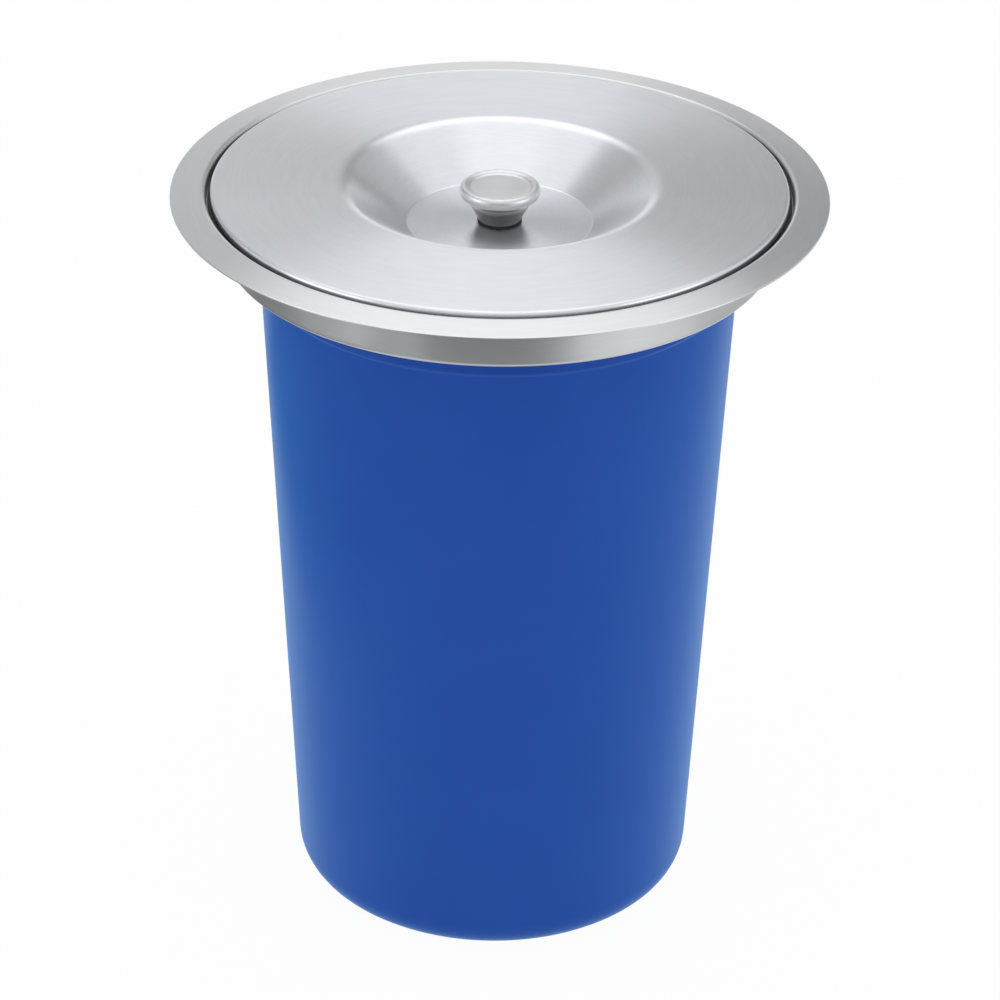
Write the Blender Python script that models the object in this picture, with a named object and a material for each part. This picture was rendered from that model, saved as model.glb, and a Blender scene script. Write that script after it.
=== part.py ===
"""Benchtop bin: a steel ring that drops into a round cut-out in a benchtop, a steel lid with
a dished centre and a knob, and a plastic bucket with a wire bail that hangs in the ring.

Metres, +Z up. The origin is the centre of the bucket's foot. The ring and the lid are drawn
with their heights measured from the benchtop, and stand bench_height above the origin.
"""
import math

import bmesh
import bpy
from mathutils import Vector

# Driving sizes
bench_height = 0.380
flange_radius = 0.160
flange_width = 0.0172
seat_width = 0.0082
collar_depth = 0.0274
ledge_width = 0.0136
dish_radius = 0.0763
dish_wall_width = 0.0309
dish_depth = 0.0213
knob_radius = 0.0198
bucket_taper = 0.0164
bucket_wall = 0.0022

# Fits
seat_gap = 0.0003
bore_gap = 0.0004
merge_distance = 0.000001
cut_overrun = 0.002

# Flange, seat and spigot, one pressing
sheet = 0.0008
flange_edge_height = 0.0009
flange_lip_height = 0.0032
flange_edge_round = 0.0004
lip_bend = 0.0022
seat_depth = 0.003
seat_bend = 0.0006
spigot_bend = 0.0016
spigot_length = 0.006

# Collar with the ledge that carries the bucket
collar_top_gap = 0.0007
collar_bend = 0.0012

# Seals
lid_seal_margin = 0.0009
lid_seal_width = 0.005
lid_seal_height = 0.0015
lid_seal_chamfer = 0.0004
flange_seal_width = 0.0085
flange_seal_inset = 0.005

# Lid
lid_gap = 0.0022
lid_edge_height = 0.0038
lid_crown_height = 0.0058
lid_edge_bend = 0.0018
lid_return_width = 0.003
lid_return_bend = 0.0013
dish_rim_bend = 0.007
dish_floor_bend = 0.003

# Knob, its gasket, and the screw and washer below
knob_top_height = 0.0036
knob_gasket_radius = 0.0109
knob_gasket_height = 0.0008
screw_radius = 0.002
screw_reach = 0.009
screw_tip_chamfer = 0.0005
knob_bore_depth = 0.0105
screw_head_radius = 0.004
screw_head_height = 0.0025
screw_head_chamfer = 0.0008
washer_radius = 0.007
washer_height = 0.001

# Bucket
base_corner = 0.017
foot_width = 0.014
foot_height = 0.0015
floor_thickness = 0.0025
neck_drop = 0.0075
shoulder_height = 0.003
neck_inset = 0.0032
bead_drop = 0.0128
bead_height = 0.0018
bead_relief = 0.0005
rim_clearance = 0.0011
rim_height = 0.0099
rim_bend = 0.002
ear_radius = 0.005
ear_thickness = 0.003
ear_sink = 0.0015

# Bail
bail_wire_radius = 0.00175
bail_inset = 0.0085
bail_bend = 0.004
bail_end_margin = 0.0006
grip_radius = 0.0045
grip_angle = math.radians(30)
grip_bore_gap = 0.0004

# Facets
round_steps = 56
small_steps = 24
bend_step = math.radians(45)
corner_step = math.radians(22.5)
bail_steps = 30
bail_bend_steps = 4
grip_steps = 8
grip_sides = 14

# The knob's outline from the middle of its top to the foot of its neck, as shares of its
# radius and of its height: a flat sunk a little below a thick rolled rim, and a neck that
# narrows to its foot
knob_outline_shares = (
    (0.00, 0.927), (0.685, 0.927), (0.745, 0.938), (0.81, 0.976), (0.87, 1.00), (0.93, 0.986),
    (0.975, 0.94), (1.00, 0.85), (0.985, 0.765), (0.945, 0.69), (0.88, 0.625), (0.81, 0.58),
    (0.715, 0.41), (0.63, 0.245), (0.57, 0.11), (0.535, 0.00),
)
grip_radius_shares = (0.82, 0.96, 1.00, 1.00, 0.97, 1.00, 1.00, 0.96, 0.82)

# Worked out from the sizes above
lid_recess_radius = flange_radius - flange_width
lid_radius = lid_recess_radius - lid_gap
collar_radius = lid_recess_radius - seat_width
spigot_radius = collar_radius - sheet - seat_gap - sheet
ledge_radius = collar_radius - ledge_width
ledge_top = bench_height - collar_depth + sheet
lid_seal_top = -seat_depth + seat_gap + lid_seal_height
lid_foot = lid_seal_top + seat_gap
dish_floor_radius = dish_radius - dish_wall_width
dish_floor_height = lid_crown_height - dish_depth
knob_gasket_foot = dish_floor_height + seat_gap
knob_foot = knob_gasket_foot + knob_gasket_height + seat_gap
washer_top = dish_floor_height - sheet - seat_gap
screw_head_top = washer_top - washer_height - seat_gap
rim_foot = ledge_top + seat_gap
rim_top = rim_foot + rim_height
rim_radius = spigot_radius - rim_clearance
band_radius = ledge_radius - bore_gap
neck_height = ledge_top - neck_drop
bucket_neck_radius = band_radius - neck_inset
bucket_base_radius = bucket_neck_radius - bucket_taper
bail_radius = rim_radius - bail_inset
bail_height = rim_top + grip_radius + seat_gap
ear_inner = bail_radius + bail_bend + seat_gap


def clear_scene():
    for thing in list(bpy.data.objects):
        bpy.data.objects.remove(thing, do_unlink=True)


def finish_material(name, colour, metallic, roughness):
    """One plain material from its colour, metallic value and roughness."""
    material = bpy.data.materials.new(name)
    material.use_nodes = True
    shader = material.node_tree.nodes["Principled BSDF"]
    shader.inputs["Base Color"].default_value = (*colour, 1.0)
    shader.inputs["Metallic"].default_value = metallic
    shader.inputs["Roughness"].default_value = roughness
    return material


def add_empty(name, location, parent=None):
    empty = bpy.data.objects.new(name, None)
    bpy.context.collection.objects.link(empty)
    empty.parent = parent
    empty.location = location
    return empty


def add_object(name, mesh, material, parent):
    thing = bpy.data.objects.new(name, mesh)
    bpy.context.collection.objects.link(thing)
    thing.parent = parent
    mesh.materials.append(material)
    return thing


def rounded(corners, step=bend_step):
    """A path through (radius, height, bend) corners, each bend drawn as a round arc."""
    path = []
    for index, (radius, height, bend) in enumerate(corners):
        corner = Vector((radius, height))
        if bend == 0:
            path.append(corner)
            continue
        before = (Vector(corners[index - 1][:2]) - corner).normalized()
        after = (Vector(corners[index + 1][:2]) - corner).normalized()
        half = math.acos(max(-1.0, min(1.0, before.dot(after)))) / 2
        centre = corner + (before + after).normalized() * (bend / math.sin(half))
        start = corner + before * (bend / math.tan(half)) - centre
        turn = math.pi - 2 * half
        if start.cross(after - before) < 0:
            turn = -turn
        count = max(2, round(abs(turn) / step))
        for index_on_arc in range(count + 1):
            angle = turn * index_on_arc / count
            spun = Vector((start.x * math.cos(angle) - start.y * math.sin(angle),
                           start.x * math.sin(angle) + start.y * math.cos(angle)))
            path.append(centre + spun)
    return path


def offset_path(path, distance):
    """The path moved sideways, to its left for a positive distance."""
    moved = []
    for index, point in enumerate(path):
        normals = []
        if index > 0:
            along = (point - path[index - 1]).normalized()
            normals.append(Vector((-along.y, along.x)))
        if index < len(path) - 1:
            along = (path[index + 1] - point).normalized()
            normals.append(Vector((-along.y, along.x)))
        mean = sum(normals, Vector((0.0, 0.0))).normalized()
        moved.append(point + mean * (distance / mean.dot(normals[0])))
    return moved


def pressed(corners, thickness):
    """The closed outline of a sheet whose shown face follows the corners."""
    shown = rounded(corners)
    return shown + offset_path(shown, thickness)[::-1]


def revolved(name, outline, steps, smooth_angle=math.radians(35)):
    """A mesh made by turning a closed outline of (radius, height) points round the Z axis."""
    shape = bmesh.new()
    verts = [shape.verts.new((point[0], 0.0, point[1])) for point in outline]
    edges = [shape.edges.new((verts[index - 1], vert)) for index, vert in enumerate(verts)]
    bmesh.ops.spin(shape, geom=verts + edges, cent=(0, 0, 0), axis=(0, 0, 1),
                   angle=math.tau, steps=steps, use_merge=True)
    bmesh.ops.remove_doubles(shape, verts=shape.verts, dist=merge_distance)
    on_axis = [edge for edge in shape.edges if not edge.link_faces]
    bmesh.ops.delete(shape, geom=on_axis, context="EDGES")
    bmesh.ops.recalc_face_normals(shape, faces=shape.faces)
    return mesh_from(name, shape, smooth_angle)


def mesh_from(name, shape, smooth_angle=math.radians(35)):
    mesh = bpy.data.meshes.new(name)
    shape.to_mesh(mesh)
    shape.free()
    mesh.shade_smooth()
    mesh.set_sharp_from_angle(angle=smooth_angle)
    return mesh


def flange_outline():
    """Rounded outer edge, sloping face, lip, lid seat and spigot, as one pressed sheet."""
    path = rounded((
        (flange_radius, flange_edge_height, 0),
        (lid_recess_radius, flange_lip_height, lip_bend),
        (lid_recess_radius, -seat_depth, seat_bend),
        (spigot_radius, -seat_depth, spigot_bend),
        (spigot_radius, -seat_depth - spigot_length, 0),
    ))
    underside = offset_path(path, sheet)
    edge = rounded((
        (flange_radius, underside[0].y, 0),
        (flange_radius, flange_edge_height, flange_edge_round),
        (lid_recess_radius, flange_lip_height, 0),
    ))
    return edge[:-1] + path[1:] + underside[::-1]


def collar_outline():
    """A sleeve round the spigot, turned in at its foot to the ledge that carries the bucket."""
    corners = (
        (collar_radius, -seat_depth - sheet - collar_top_gap, 0),
        (collar_radius, -collar_depth, collar_bend),
        (ledge_radius, -collar_depth, 0),
    )
    return pressed(corners, -sheet)


def lid_seal_outline():
    outer = lid_recess_radius - lid_seal_margin
    inner = outer - lid_seal_width
    foot = -seat_depth + seat_gap
    return [
        (inner, foot),
        (outer, foot),
        (outer, lid_seal_top - lid_seal_chamfer),
        (outer - lid_seal_chamfer, lid_seal_top),
        (inner + lid_seal_chamfer, lid_seal_top),
        (inner, lid_seal_top - lid_seal_chamfer),
    ]


def flange_seal_outline():
    """A flat strip on the benchtop that fills the slope under the flange."""
    outer = flange_radius - flange_seal_inset
    inner = outer - flange_seal_width
    slope = (flange_lip_height - flange_edge_height) / (flange_radius - lid_recess_radius)
    drop = (sheet + seat_gap) / math.cos(math.atan(slope))

    def under_flange(radius):
        return flange_edge_height + (flange_radius - radius) * slope - drop

    return [(inner, 0.0), (outer, 0.0), (outer, under_flange(outer)), (inner, under_flange(inner))]


def lid_outline():
    """Return flange, edge, crowned plate and dish with the screw's hole, as one pressed sheet."""
    corners = (
        (lid_radius - lid_return_width, lid_foot, 0),
        (lid_radius, lid_foot, lid_return_bend),
        (lid_radius, lid_edge_height, lid_edge_bend),
        (dish_radius, lid_crown_height, dish_rim_bend),
        (dish_floor_radius, dish_floor_height, dish_floor_bend),
        (screw_radius + bore_gap, dish_floor_height, 0),
    )
    return pressed(corners, sheet)


def knob_outline():
    """The turned knob with the screw's bore in its foot."""
    height = knob_top_height - knob_foot
    bore = screw_radius + bore_gap
    outline = [(radius * knob_radius, share * height) for radius, share in knob_outline_shares]
    outline += [(bore, 0.0), (bore, knob_bore_depth), (0.0, knob_bore_depth)]
    return outline


def ring_outline(inner, outer, height):
    return [(inner, 0.0), (outer, 0.0), (outer, height), (inner, height)]


def screw_outline():
    """Pan head at the bottom, shank up into the knob; drawn from the head's underside up."""
    tip = screw_head_height + (knob_foot - screw_head_top) + screw_reach
    return [
        (0.0, 0.0),
        (screw_head_radius - screw_head_chamfer, 0.0),
        (screw_head_radius, screw_head_chamfer),
        (screw_head_radius, screw_head_height),
        (screw_radius, screw_head_height),
        (screw_radius, tip - screw_tip_chamfer),
        (screw_radius - screw_tip_chamfer, tip),
        (0.0, tip),
    ]


def bucket_outline():
    """Foot ring, round corner, drafted wall with a bead, shoulder, band and rolled-over rim."""
    floor = foot_height + floor_thickness
    bead_middle = ledge_top - bead_drop
    draft = bucket_taper / neck_height

    def wall_radius(height):
        return bucket_base_radius + draft * height

    foot_inner = bucket_base_radius - base_corner - foot_width
    inner_bend = base_corner - bucket_wall
    band_foot = neck_height + shoulder_height
    return rounded((
        (0.0, foot_height, 0),
        (foot_inner, foot_height, 0),
        (foot_inner + foot_height, 0.0, 0),
        (bucket_base_radius, 0.0, base_corner),
        (wall_radius(bead_middle - bead_height / 2), bead_middle - bead_height / 2, 0),
        (wall_radius(bead_middle) + bead_relief, bead_middle, 0),
        (wall_radius(bead_middle + bead_height / 2), bead_middle + bead_height / 2, 0),
        (bucket_neck_radius, neck_height, 0),
        (band_radius, band_foot, 0),
        (band_radius, rim_top - bucket_wall, 0),
        (rim_radius - bucket_wall, rim_top - bucket_wall, 0),
        (rim_radius - bucket_wall, rim_foot, 0),
        (rim_radius, rim_foot, 0),
        (rim_radius, rim_top, rim_bend),
        (band_radius - bucket_wall, rim_top, rim_bend),
        (band_radius - bucket_wall, band_foot, 0),
        (bucket_neck_radius - bucket_wall, neck_height, 0),
        (bucket_base_radius - bucket_wall, floor, inner_bend),
        (0.0, floor, 0),
    ), corner_step)


def ear_mesh(name):
    """A lug with a round top about the bail's pivot, drawn in the YZ plane and made thick in X."""
    shape = bmesh.new()
    foot = rim_top - ear_sink - bail_height
    outline = [(-ear_radius, foot), (ear_radius, foot)]
    for index in range(grip_steps + 1):
        angle = math.pi * index / grip_steps
        outline.append((ear_radius * math.cos(angle), ear_radius * math.sin(angle)))
    verts = [shape.verts.new((0.0, along, up)) for along, up in outline]
    face = shape.faces.new(verts)
    grown = bmesh.ops.extrude_face_region(shape, geom=[face])["geom"]
    moved = [item for item in grown if isinstance(item, bmesh.types.BMVert)]
    bmesh.ops.translate(shape, verts=moved, vec=(ear_thickness, 0, 0))
    bmesh.ops.recalc_face_normals(shape, faces=shape.faces)
    return mesh_from(name, shape)


def guide_object(name, mesh, parent, location, turn=0.0):
    """An object that only shapes others, and isn't part of the bin."""
    guide = bpy.data.objects.new(name, mesh)
    bpy.context.collection.objects.link(guide)
    guide.parent = parent
    guide.location = location
    guide.rotation_euler = (0, 0, turn)
    guide.hide_render = True
    guide.display_type = "WIRE"
    return guide


def pivot_cutter_mesh():
    """One bar along X that drills both ears for the bail's ends."""
    shape = bmesh.new()
    reach = rim_radius + cut_overrun
    bmesh.ops.create_cone(shape, cap_ends=True, segments=small_steps // 2,
                          radius1=bail_wire_radius + bore_gap, radius2=bail_wire_radius + bore_gap,
                          depth=2 * reach)
    turned = Vector((0, 0, 1)).rotation_difference(Vector((1, 0, 0))).to_matrix()
    bmesh.ops.rotate(shape, verts=shape.verts, cent=(0, 0, 0), matrix=turned)
    return mesh_from("pivot_cutter", shape)


def add_boolean(thing, operation, other):
    modifier = thing.modifiers.new(other.name, "BOOLEAN")
    modifier.operation = operation
    modifier.object = other


def make_ring(steel, rubber):
    """The four pieces that stay in the bench."""
    carrier = add_empty("ring_carrier", (0, 0, bench_height))
    pieces = (
        ("top_flange", flange_outline(), steel),
        ("collar", collar_outline(), steel),
        ("lid_seal", lid_seal_outline(), rubber),
        ("flange_seal", flange_seal_outline(), rubber),
    )
    for name, outline, material in pieces:
        add_object(name, revolved(name, outline, round_steps), material, carrier)


def make_lid(steel, cast, rubber, zinc):
    """The lid and what is screwed to it; it lifts straight up."""
    carrier = add_empty("lid_carrier", (0, 0, bench_height))
    hole = screw_radius + bore_gap
    gasket_outline = ring_outline(hole, knob_gasket_radius, knob_gasket_height)
    washer_outline = ring_outline(hole, washer_radius, washer_height)
    pieces = (
        ("lid_shell", lid_outline(), round_steps, steel, 0.0),
        ("knob", knob_outline(), small_steps, cast, knob_foot),
        ("knob_gasket", gasket_outline, small_steps, rubber, knob_gasket_foot),
        ("knob_washer", washer_outline, small_steps, zinc, washer_top - washer_height),
        ("knob_screw", screw_outline(), small_steps // 2, zinc, screw_head_top - screw_head_height),
    )
    for name, outline, steps, material, height in pieces:
        thing = add_object(name, revolved(name, outline, steps), material, carrier)
        thing.location.z = height


def make_bucket(plastic):
    """The bucket; it hangs by its rim on the collar's ledge and lifts straight out."""
    carrier = add_empty("bucket_carrier", (0, 0, 0))
    bucket = add_object("bucket", revolved("bucket", bucket_outline(), round_steps), plastic, carrier)
    ear = ear_mesh("ear")
    sides = (("right", 0.0), ("left", math.pi))
    for side, turn in sides:
        place = (ear_inner * math.cos(turn), 0, bail_height)
        add_boolean(bucket, "UNION", guide_object(side + "_ear", ear, carrier, place, turn))
    cutter = guide_object("pivot_cutter", pivot_cutter_mesh(), carrier, (0, 0, bail_height))
    add_boolean(bucket, "DIFFERENCE", cutter)


def bail_points():
    """Half a circle in the XY plane whose ends turn outwards through the ears, along X."""
    start = math.asin(bail_bend / bail_radius)
    end = rim_radius - bail_end_margin
    points = [(end, 0.0)]
    bend_x = bail_radius * math.cos(start) + bail_bend
    for index in range(bail_bend_steps):
        angle = -math.pi / 2 - math.pi / 2 * index / bail_bend_steps
        points.append((bend_x + bail_bend * math.cos(angle), bail_bend + bail_bend * math.sin(angle)))
    for index in range(bail_steps + 1):
        angle = start + (math.pi - 2 * start) * index / bail_steps
        points.append((bail_radius * math.cos(angle), bail_radius * math.sin(angle)))
    mirrored = [(-along, across) for along, across in points[:bail_bend_steps + 1]]
    return points + mirrored[::-1]


def grip_mesh():
    """A moulded sleeve bent along the wire, with the wire's bore through it."""
    shape = bmesh.new()
    bore = bail_wire_radius + grip_bore_gap
    stations = len(grip_radius_shares)
    outer_rings = []
    inner_rings = []
    for station, share in enumerate(grip_radius_shares):
        sweep = math.pi / 2 + grip_angle * (station / (stations - 1) - 0.5)
        outward = Vector((math.cos(sweep), math.sin(sweep), 0.0))
        for rings, radius in ((outer_rings, grip_radius * share), (inner_rings, bore)):
            ring = []
            for side in range(grip_sides):
                angle = math.tau * side / grip_sides
                place = outward * (bail_radius + radius * math.cos(angle))
                place.z = radius * math.sin(angle)
                ring.append(shape.verts.new(place))
            rings.append(ring)
    for side in range(grip_sides):
        following = (side + 1) % grip_sides
        for station in range(stations - 1):
            for rings in (outer_rings, inner_rings):
                shape.faces.new((rings[station][side], rings[station][following],
                                 rings[station + 1][following], rings[station + 1][side]))
        for station in (0, stations - 1):
            shape.faces.new((outer_rings[station][side], outer_rings[station][following],
                             inner_rings[station][following], inner_rings[station][side]))
    bmesh.ops.recalc_face_normals(shape, faces=shape.faces)
    return mesh_from("bail_grip", shape)


def make_bail(wire_steel, plastic):
    """The bail, which turns about the ears' line from lying on the rim to standing up."""
    carrier = add_empty("bail_carrier", (0, 0, bail_height))
    curve = bpy.data.curves.new("bail", "CURVE")
    curve.dimensions = "3D"
    curve.bevel_depth = bail_wire_radius
    curve.bevel_resolution = 2
    curve.use_fill_caps = True
    points = bail_points()
    spline = curve.splines.new("POLY")
    spline.points.add(len(points) - 1)
    for point, (along, across) in zip(spline.points, points):
        point.co = (along, across, 0.0, 1.0)
    add_object("bail", curve, wire_steel, carrier)
    add_object("bail_grip", grip_mesh(), plastic, carrier)


def main():
    clear_scene()
    steel = finish_material("brushed_steel", (0.62, 0.63, 0.64), 1.0, 0.32)
    cast = finish_material("satin_nickel", (0.56, 0.57, 0.58), 1.0, 0.30)
    zinc = finish_material("zinc_plate", (0.60, 0.61, 0.62), 1.0, 0.35)
    rubber = finish_material("black_rubber", (0.02, 0.02, 0.022), 0.0, 0.75)
    blue = finish_material("blue_plastic", (0.03, 0.09, 0.38), 0.0, 0.38)
    wire_steel = finish_material("wire_steel", (0.58, 0.59, 0.60), 1.0, 0.25)
    grip_plastic = finish_material("grip_plastic", (0.05, 0.05, 0.055), 0.0, 0.45)
    make_ring(steel, rubber)
    make_lid(steel, cast, rubber, zinc)
    make_bucket(blue)
    make_bail(wire_steel, grip_plastic)


main()
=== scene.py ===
"""The benchtop bin's finish: turned and brushed steel, satin blue plastic, rubber and wire."""

import math

import bpy
from mathutils import Matrix, Vector


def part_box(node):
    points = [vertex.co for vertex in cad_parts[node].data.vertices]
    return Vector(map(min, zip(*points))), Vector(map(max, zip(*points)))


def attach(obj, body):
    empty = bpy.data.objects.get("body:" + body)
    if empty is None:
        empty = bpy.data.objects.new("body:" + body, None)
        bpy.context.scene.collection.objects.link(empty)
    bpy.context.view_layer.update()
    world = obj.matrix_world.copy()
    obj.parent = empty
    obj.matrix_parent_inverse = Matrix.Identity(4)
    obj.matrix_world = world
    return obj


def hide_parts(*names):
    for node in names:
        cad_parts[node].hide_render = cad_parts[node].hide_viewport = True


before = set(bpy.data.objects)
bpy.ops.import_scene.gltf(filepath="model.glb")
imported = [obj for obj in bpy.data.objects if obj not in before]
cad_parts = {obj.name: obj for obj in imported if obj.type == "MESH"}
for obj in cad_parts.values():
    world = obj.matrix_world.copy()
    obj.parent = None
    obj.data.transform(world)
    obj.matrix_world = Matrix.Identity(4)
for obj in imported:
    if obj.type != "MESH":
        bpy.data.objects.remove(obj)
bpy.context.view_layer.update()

# Places taken from the CAD pieces, in metres
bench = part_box("flange_seal")[0].z
flange_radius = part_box("top_flange")[1].x
spigot_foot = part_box("top_flange")[0].z
collar_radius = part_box("collar")[1].x
collar_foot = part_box("collar")[0].z
collar_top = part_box("collar")[1].z
lid_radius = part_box("lid_shell")[1].x
lid_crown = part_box("lid_shell")[1].z
knob_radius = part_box("knob")[1].x
knob_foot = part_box("knob")[0].z
knob_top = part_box("knob")[1].z
rim_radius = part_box("bucket")[1].x
bail_height = (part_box("bail")[0].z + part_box("bail")[1].z) / 2
bail_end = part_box("bail")[1].x
bail_wire_radius = (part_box("bail")[1].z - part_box("bail")[0].z) / 2
bail_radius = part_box("bail")[1].y - bail_wire_radius
grip_radius = (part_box("bail_grip")[1].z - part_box("bail_grip")[0].z) / 2

# Sizes of the pressed ring and lid
sheet = 0.0008
seat_gap = 0.0003
bore_gap = 0.0004
flange_edge_height = 0.0009
flange_edge_round = 0.0004
flange_lip_height = 0.0032
lid_recess_radius = flange_radius - 0.0172
lip_bend = 0.0022
seat_depth = 0.003
seat_bend = 0.0006
spigot_bend = 0.0016
collar_bend = 0.0022
ledge_radius = collar_radius - 0.0136
lid_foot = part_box("lid_seal")[1].z + seat_gap
lid_edge_height = 0.0038
lid_edge_bend = 0.0018
lid_return_width = 0.003
lid_return_bend = 0.0013
dish_radius = 0.0763
dish_floor_radius = 0.0454
dish_floor_height = -0.0155
dish_rim_bend = 0.011
dish_floor_bend = 0.0015
screw_hole = 0.0024

# Sizes of the bucket and bail
bucket_wall = 0.0022
band_radius = ledge_radius - 0.0004
bucket_neck_radius = band_radius - 0.0032
bucket_base_radius = bucket_neck_radius - 0.0164
base_corner = 0.017
foot_height = 0.0015
floor_height = 0.004
foot_width = 0.014
rim_foot = collar_foot + sheet + seat_gap
rim_top = rim_foot + 0.0099
neck_height = rim_foot - seat_gap - 0.0075
band_foot = neck_height + 0.003
bead_middle = rim_foot - seat_gap - 0.0128
bead_height = 0.0036
bead_relief = 0.0008
ear_radius = 0.005
ear_thickness = 0.003
ear_sink = 0.0015
bail_bend = 0.004
ear_inner = bail_radius + bail_bend + seat_gap
grip_angle = math.radians(30)

# Fineness
round_steps = 224
small_steps = 96
arc_step = math.radians(9)
corner_step = math.radians(22)
merge_distance = 0.000005
support_distance = 0.0012
smooth_limit = math.radians(32)
screw_smooth_limit = math.radians(25)
grip_smooth_limit = math.radians(50)


# Outlines

def rounded(corners, step=arc_step):
    """A path through (radius, height, bend) corners, each bend drawn as a round arc."""
    path = []
    for index, (radius, height, bend) in enumerate(corners):
        corner = Vector((radius, height))
        if bend == 0:
            path.append(corner)
            continue
        before = (Vector(corners[index - 1][:2]) - corner).normalized()
        after = (Vector(corners[(index + 1) % len(corners)][:2]) - corner).normalized()
        half = math.acos(max(-1.0, min(1.0, before.dot(after)))) / 2
        centre = corner + (before + after).normalized() * (bend / math.sin(half))
        start = corner + before * (bend / math.tan(half)) - centre
        turn = math.pi - 2 * half
        if start.cross(after - before) < 0:
            turn = -turn
        count = max(2, round(abs(turn) / step))
        for on_arc in range(count + 1):
            path.append(centre + Matrix.Rotation(turn * on_arc / count, 2) @ start)
    return path


def offset_path(path, distance):
    """The path moved sideways, to its left for a positive distance."""
    moved = []
    for index, point in enumerate(path):
        normals = []
        if index > 0:
            along = (point - path[index - 1]).normalized()
            normals.append(Vector((-along.y, along.x)))
        if index < len(path) - 1:
            along = (path[index + 1] - point).normalized()
            normals.append(Vector((-along.y, along.x)))
        mean = sum(normals, Vector((0.0, 0.0))).normalized()
        moved.append(point + mean * (distance / mean.dot(normals[0])))
    return moved


def smooth_curve(points, parts=5):
    """Points on a smooth curve through the given ones."""
    path = []
    for index in range(len(points) - 1):
        before = Vector(points[max(index - 1, 0)])
        start = Vector(points[index])
        end = Vector(points[index + 1])
        after = Vector(points[min(index + 2, len(points) - 1)])
        for part in range(parts):
            t = part / parts
            bend = (2 * before - 5 * start + 4 * end - after) * t * t
            twist = (3 * start - before - 3 * end + after) * t * t * t
            path.append((2 * start + (end - before) * t + bend + twist) / 2)
    path.append(Vector(points[-1]))
    return path


def lifted(outline, height):
    """The outline moved up by a height."""
    return [Vector((point[0], point[1] + height)) for point in outline]


# Modelling

def start_mesh():
    """Object mode with nothing selected, ready for a new primitive."""
    if bpy.context.object and bpy.context.object.mode != "OBJECT":
        bpy.ops.object.mode_set(mode="OBJECT")
    bpy.ops.object.select_all(action="DESELECT")


def activate(piece):
    """This piece alone is selected, and the operators work on it."""
    start_mesh()
    piece.select_set(True)
    bpy.context.view_layer.objects.active = piece


def finish_mesh(name, smooth=smooth_limit):
    """Merged, facing outwards, smooth where it is round, and named."""
    bpy.ops.mesh.select_all(action="SELECT")
    bpy.ops.mesh.remove_doubles(threshold=merge_distance)
    bpy.ops.mesh.normals_make_consistent(inside=False)
    bpy.ops.object.mode_set(mode="OBJECT")
    bpy.ops.object.transform_apply(location=True, rotation=True, scale=True)
    bpy.ops.object.shade_smooth_by_angle(angle=smooth)
    piece = bpy.context.object
    piece.name = name
    piece.data.name = name
    return piece


def supported(outline):
    """A closed outline with a point near both ends of each long side, so that wear stays at edges."""
    path = []
    for index, point in enumerate(outline):
        start = Vector(point)
        end = Vector(outline[(index + 1) % len(outline)])
        path.append(start)
        off_axis = max(start.x, end.x) > merge_distance
        if off_axis and (end - start).length > 4 * support_distance:
            step = (end - start).normalized() * support_distance
            path += [start + step, end - step]
    return path


def turned(name, outline, steps=round_steps, smooth=smooth_limit):
    """A closed outline of (radius, height) points spun round the Z axis."""
    outline = supported(outline)
    start_mesh()
    bpy.ops.mesh.primitive_plane_add(size=1, location=(0, 0, 0))
    bpy.ops.object.mode_set(mode="EDIT")
    bpy.ops.mesh.merge(type="CENTER")
    place = Vector((outline[0][0], outline[0][1]))
    bpy.ops.transform.translate(value=(place.x, 0, place.y))
    for point in list(outline[1:]) + [outline[0]]:
        move = Vector((point[0], point[1])) - place
        bpy.ops.mesh.extrude_vertices_move(TRANSFORM_OT_translate={"value": (move.x, 0, move.y)})
        place += move
    bpy.ops.mesh.select_all(action="SELECT")
    bpy.ops.mesh.spin(steps=steps, angle=math.tau, center=(0, 0, 0), axis=(0, 0, 1))
    return finish_mesh(name, smooth)


def apply_modifier(piece, kind, **settings):
    """One modifier, set and applied."""
    activate(piece)
    bpy.ops.object.modifier_add(type=kind)
    modifier = piece.modifiers[-1]
    for setting, value in settings.items():
        setattr(modifier, setting, value)
    bpy.ops.object.modifier_apply(modifier=modifier.name)


def combine(piece, operation, other):
    """A boolean with another piece, which is then taken away."""
    apply_modifier(piece, "BOOLEAN", operation=operation, solver="EXACT", object=other)
    bpy.data.objects.remove(other, do_unlink=True)


def block(name, low, high):
    """A box between two corners."""
    start_mesh()
    middle = (Vector(low) + Vector(high)) / 2
    bpy.ops.mesh.primitive_cube_add(size=1, location=middle, scale=Vector(high) - Vector(low))
    bpy.ops.object.transform_apply(location=True, rotation=True, scale=True)
    bpy.context.object.name = name
    return bpy.context.object


# Pieces of the ring

def model_flange():
    """One pressed sheet: sloping face, lip, lid seat and spigot, with a cut outer edge."""
    path = rounded((
        (flange_radius, flange_edge_height, 0),
        (lid_recess_radius, flange_lip_height, lip_bend),
        (lid_recess_radius, -seat_depth, seat_bend),
        (collar_radius - 2 * sheet - seat_gap, -seat_depth, spigot_bend),
        (collar_radius - 2 * sheet - seat_gap, spigot_foot - bench, 0),
    ))
    underside = offset_path(path, sheet)
    edge = rounded((
        (flange_radius, underside[0].y, 0),
        (flange_radius, flange_edge_height, flange_edge_round),
        (lid_recess_radius, flange_lip_height, 0),
    ))
    return turned("flange_pressing", lifted(edge[:-1] + path[1:] + underside[::-1], bench))


def model_collar():
    """A sleeve turned in at its foot to the ledge that carries the bucket."""
    path = rounded((
        (collar_radius, collar_top, 0),
        (collar_radius, collar_foot, collar_bend),
        (ledge_radius, collar_foot, 0),
    ))
    return turned("collar_sleeve", path + offset_path(path, -sheet)[::-1])


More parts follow.
